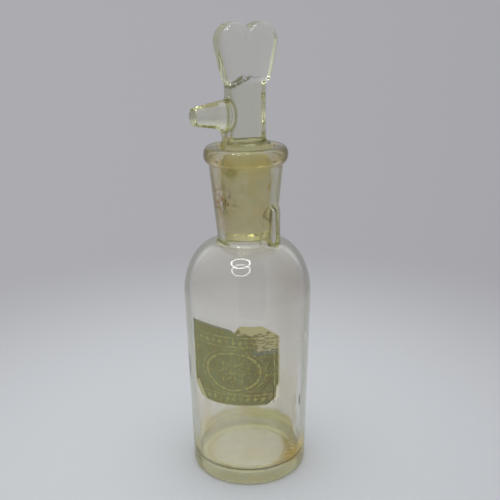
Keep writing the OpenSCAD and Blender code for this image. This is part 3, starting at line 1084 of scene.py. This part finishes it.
@dataclass
class Label:
    """Worn paper label on the front of the body."""

    width: float = 33.0
    height: float = 33.0
    low_z: float = 35.4
    paper_t: float = 0.16
    paste_t: float = 0.015
    turn: float = -103.8
    curl: float = 0.5
    curl_r: Point = (5.5, 0.5)
    curl_z: float = 1.5
    side_curl: float = 0.6
    side_w: Point = (1.6, 0.2)
    side_h: Point = (12.0, 8.0)
    rags: tuple = ((0.2, 1.6, 0.0), (0.1, 0.45, 7.0))
    top_w: float = 1.6
    edge_w: float = 1.0
    top_rag: float = 1.6
    right_rag: float = 1.8
    steps: int = 150
    uv_mm: float = 100.0
    rosette_z: float = 14.2
    oval_stretch: float = 1.35
    petals: int = 8
    lozenge_rows: tuple = (2.9, 26.2)
    rules: tuple = (4.6, 24.4, 28.2)

    def bottom(self, x: float) -> float:
        """Height of the lower edge, worn off at the left corner and rounded at the right."""
        half = self.width / 2
        return along([(-half, 6.6), (-half + 0.7, 5.0), (-half + 2.6, 1.4), (-half + 5, 0.4),
                      (-half + 8, 0.1), (half - 5, 0.1), (half - 2.6, 0.7), (half - 0.9, 1.8),
                      (half, 3.0)], x)

    def top(self, x: float) -> float:
        """Height of the torn upper edge."""
        half = self.width / 2
        return along([(-half, 32.4), (-10.8, 32.5), (-6.5, 32.2), (-2.5, 31.7), (-0.4, 31.2),
                      (0.8, 30.4), (1.6, 31.0), (2.2, 32.4), (3.4, 32.9), (8.0, 32.8),
                      (10.8, 32.7), (13.4, 30.8), (15.2, 29.2), (half, 27.8)], x)

    def rag(self, x: float, v: float) -> float:
        """Raggedness of torn paper at a place, in millimetres."""
        return sum(height * noise.noise(Vector((x, v, layer)) / grain)
                   for height, grain, layer in self.rags)

    def place(self, x: float, v: float, lift: float, bottle: Bottle) -> Vector:
        """Point on the paper.

        Args:
            x: Distance across, from the middle.
            v: Height above the lower edge.
            lift: Distance from the paste.
            bottle: The bottle that it is pasted on.

        Returns:
            The place in metres.
        """
        z = self.low_z + v
        r = bottle.wall_r(z) + self.paste_t + lift
        angle = math.radians(self.turn) + math.asin(max(-1.0, min(1.0, x / r)))
        return Vector((r * math.cos(angle) * MM, r * math.sin(angle) * MM, z * MM))

    def flat(self, s: float, t: float) -> tuple[float, float, float]:
        """Place on the flat label of a point of the unit square.

        Args:
            s: Share of the way from the left edge to the right.
            t: Share of the way from the lower edge to the upper.

        Returns:
            Distance across, height, and nearness to an edge from 0 to 1.
        """
        x = self.width * (s - 0.5)
        low, high = self.bottom(x), self.top(x)
        v = low + (high - low) * t
        near_top, near_low = smooth_step(self.top_w, 0, high - v), smooth_step(self.edge_w, 0, v - low)
        near_side = smooth_step(self.edge_w, 0, self.width / 2 - abs(x))
        rag = self.rag(x, v)
        x -= math.copysign(abs(rag) * near_side, x) * (1 if x < 0 else self.right_rag)
        v += (near_low - near_top * self.top_rag) * abs(rag)
        return x, v, max(near_top, near_low, near_side)

    def lift(self, x: float, v: float) -> float:
        """How far the lower right corner and the right edge stand off the glass.

        Args:
            x: Distance across, from the middle.
            v: Height above the lower edge.

        Returns:
            The gap under the paper.
        """
        inwards = self.width / 2 - x
        corner = smooth_step(*self.curl_r, math.hypot(inwards, max(0.0, v - self.curl_z)))
        side = smooth_step(*self.side_w, inwards) * smooth_step(*self.side_h, v)
        return self.curl * max(corner, self.side_curl * side)

    def build(self, bottle: Bottle) -> bpy.types.Object:
        """Models the label as a thin curved sheet.

        Args:
            bottle: The bottle that it is pasted on.

        Returns:
            The label's object.
        """
        deselect_all()
        bpy.ops.mesh.primitive_grid_add(x_subdivisions=self.steps, y_subdivisions=self.steps, size=1.0,
                                        calc_uvs=False)
        piece = bpy.context.object
        piece.name = piece.data.name = "paper_label"
        flat = [self.flat(vertex.co.x + 0.5, vertex.co.y + 0.5) for vertex in piece.data.vertices]
        edge = piece.data.attributes.new("edge", "FLOAT", "POINT")
        for vertex, (x, v, near) in zip(piece.data.vertices, flat):
            vertex.co = self.place(x, v, self.paper_t + self.lift(x, v), bottle)
            edge.data[vertex.index].value = near
        layer = piece.data.uv_layers.new(name="paper")
        for loop in piece.data.loops:
            x, v, _ = flat[loop.vertex_index]
            layer.data[loop.index].uv = ((x + self.width / 2) / self.uv_mm, v / self.uv_mm)
        count = len(piece.data.vertices)
        apply_modifier(piece, "SOLIDIFY", thickness=self.paper_t * MM, offset=-1)
        face = piece.data.attributes.new("face", "FLOAT", "POINT")
        for index in range(count):
            face.data[index].value = 1.0
        bpy.ops.object.shade_smooth()
        return piece

    def dress(self, piece: bpy.types.Object) -> None:
        """Gives the label its paper and puts it in its CAD node's place.

        Args:
            piece: The finished label.
        """
        piece.data.materials.append(AgedLabelPaper().build(self))
        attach(piece, Body.BOTTLE.value)
        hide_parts("label")


# ---------------------------------------------------------------- the studio

@dataclass
class Studio:
    """Pale sweep, soft light and the camera."""

    floor_r: float = 9000.0
    # Painted shade on the floor: its colour near the object, the darker one it fades to far off, and the
    # darker tint to the right.
    floor_hex: str = "#CFD3D7"
    far_shade_hex: str = "#ABABB0"
    side_shade_hex: str = "#F0EFF0"
    floor_fade: Point = (20.0, 300.0)
    side_fade: Point = (-0.29, 0.93)
    # Painted light straight under the bottle: a paler floor colour, which also glows for rays through the
    # glass.
    under_light_hex: str = "#F0F3EA"
    under_light_fade: Point = (23.0, 20.0)
    glow_fade: Point = (24.0, 19.5)
    gathered: float = 0.35
    nearest: float = 100.0
    least_front: float = 0.2
    window_fade: Point = (0.1, -0.7)
    ceiling_fade: Point = (0.03, 0.7)
    ceiling_hex: str = "#DADBDC"
    surround_hex: str = "#ABABB0"
    window_hex: str = "#C6C7C8"
    bounces: int = 32
    camera_at: tuple = (1.1748, -278.373, 177.634)
    camera_pitch: float = 72.444
    camera_roll: float = -0.6549
    lens_mm: float = 54.716
    sensor_mm: float = 36.0
    clip_mm: float = 1.0
    ring_at: tuple = (-121.0, -242.0, 741.0)
    ring_r: float = 180.0
    ring_tube_r: float = 16.0
    ring_aim: tuple = (0.0, 0.0, 90.0)
    ring_strength: float = 18.0
    ring_steps: tuple = (64, 12)
    floor_steps: int = 64

    def build_world(self) -> None:
        """Even white light for matt surfaces, and a grey room for what glass shows."""
        world = bpy.data.worlds.new("studio")
        s = Nodes(world)
        path = s.add("ShaderNodeLightPath").outputs
        seen = s.largest(path["Is Glossy Ray"], path["Is Transmission Ray"], path["Is Camera Ray"])
        shown = s.product(seen, s.math("LESS_THAN", path["Diffuse Depth"], 0.5))
        way = s.add("ShaderNodeTexCoord").outputs["Generated"]
        right, front, up = s.axes(way)
        aside = s.math("DIVIDE", right, s.largest(front, self.least_front))
        mirrored = s.math("GREATER_THAN", path["Glossy Depth"], 0.5)
        room = s.tint(s.ramp(aside, *self.side_fade), self.surround_hex, self.side_shade_hex)
        room = s.mix(s.product(s.ramp(front, *self.window_fade), mirrored), room, self.window_hex)
        room = s.mix(s.ramp(up, *self.ceiling_fade), room, self.ceiling_hex)
        colour = s.mix(shown, WHITE, room)
        light = s.add("ShaderNodeBackground", {}, {"Color": colour, "Strength": 1.0})
        s.add("ShaderNodeOutputWorld", {}, {"Surface": light.outputs[0]})
        bpy.context.scene.world = world

    def build_floor(self) -> None:
        """Wide pale floor with painted shade: lighter round the object, darker far off and a little darker to
        the right.

        What glass shows of it straight under the bottle is painted paler and glows, and that light falls on
        nothing.
        """
        deselect_all()
        bpy.ops.mesh.primitive_circle_add(vertices=self.floor_steps, radius=self.floor_r * MM,
                                          fill_type="NGON")
        floor = bpy.context.object
        floor.name = "floor"
        s = Shader("matt_table_paper")
        at = s.millimetres()
        x, y, _ = s.axes(at)
        away = s.add("ShaderNodeVectorMath", {"operation": "LENGTH"}, {0: at}).outputs["Value"]
        # Painted shade: darker away from the object and to the right.
        colour = s.mix(s.ramp(away, *self.floor_fade), self.floor_hex, self.far_shade_hex)
        aside = s.math("DIVIDE", x, s.largest(s.math("SUBTRACT", y, self.camera_at[1]), self.nearest))
        colour = s.tint(s.ramp(aside, *self.side_fade), colour, self.side_shade_hex)
        # Painted light: the floor is paler straight under the bottle.
        colour = s.mix(s.ramp(away, *self.under_light_fade), colour, self.under_light_hex)
        paper = s.add("ShaderNodeBsdfDiffuse", {}, {"Color": colour})
        # Painted light: the floor glows under the bottle for rays that come through the glass.
        through_glass = s.add("ShaderNodeLightPath").outputs["Is Transmission Ray"]
        glow = s.add("ShaderNodeEmission", {}, {
            "Color": linear(self.under_light_hex),
            "Strength": s.product(through_glass, s.ramp(away, *self.glow_fade), self.gathered)})
        both = s.add("ShaderNodeAddShader", {}, {0: paper.outputs[0], 1: glow.outputs[0]})
        floor.data.materials.append(s.finish(both))

    def build_ring_lamp(self) -> None:
        """Ring lamp that only shows as a reflection in the glass."""
        bpy.ops.mesh.primitive_torus_add(major_radius=self.ring_r * MM, minor_radius=self.ring_tube_r * MM,
                                         major_segments=self.ring_steps[0],
                                         minor_segments=self.ring_steps[1])
        ring = bpy.context.object
        ring.name = "ring_lamp"
        aim = (Vector(self.ring_aim) - Vector(self.ring_at)).to_track_quat("Z", "Y")
        ring.data.transform(Matrix.Translation(Vector(self.ring_at) * MM) @ aim.to_matrix().to_4x4())
        s = Shader("lamp_glow")
        glow = s.add("ShaderNodeEmission", {}, {"Color": WHITE, "Strength": self.ring_strength})
        ring.data.materials.append(s.finish(glow))
        ring.visible_diffuse = False
        ring.visible_camera = False

    def build_camera(self) -> None:
        """Camera at the viewing angle of the object."""
        data = bpy.data.cameras.new("camera")
        data.lens = self.lens_mm
        data.sensor_width = self.sensor_mm
        data.clip_start = self.clip_mm * MM
        camera = bpy.data.objects.new("camera", data)
        bpy.context.scene.collection.objects.link(camera)
        camera.matrix_world = (Matrix.Translation(Vector(self.camera_at) * MM)
                               @ Matrix.Rotation(math.radians(self.camera_pitch), 4, "X")
                               @ Matrix.Rotation(math.radians(self.camera_roll), 4, "Z"))
        bpy.context.scene.camera = camera

    def build(self) -> None:
        """Sets up the whole studio."""
        bpy.context.scene.view_settings.view_transform = "Standard"
        bounces = bpy.context.scene.cycles
        bounces.max_bounces = bounces.transmission_bounces = bounces.glossy_bounces = self.bounces
        self.build_camera()
        self.build_world()
        self.build_floor()
        self.build_ring_lamp()


def report(piece: bpy.types.Object) -> None:
    """Logs a piece with its number of faces."""
    log.info("%s: %d faces", piece.name, len(piece.data.polygons))


def main() -> None:
    """Builds the studio, the bottle, the stopper and the label, in that order."""
    logging.basicConfig(level=logging.INFO, format="%(name)s %(message)s")
    Studio().build()
    bottle = Bottle()
    shell = bottle.build()
    bottle.dress(shell)
    report(shell)
    stopper = Stopper()
    plug = stopper.build()
    stopper.dress(plug)
    report(plug)
    label = Label()
    paper = label.build(bottle)
    label.dress(paper)
    report(paper)


if __name__ == "__main__":
    main()
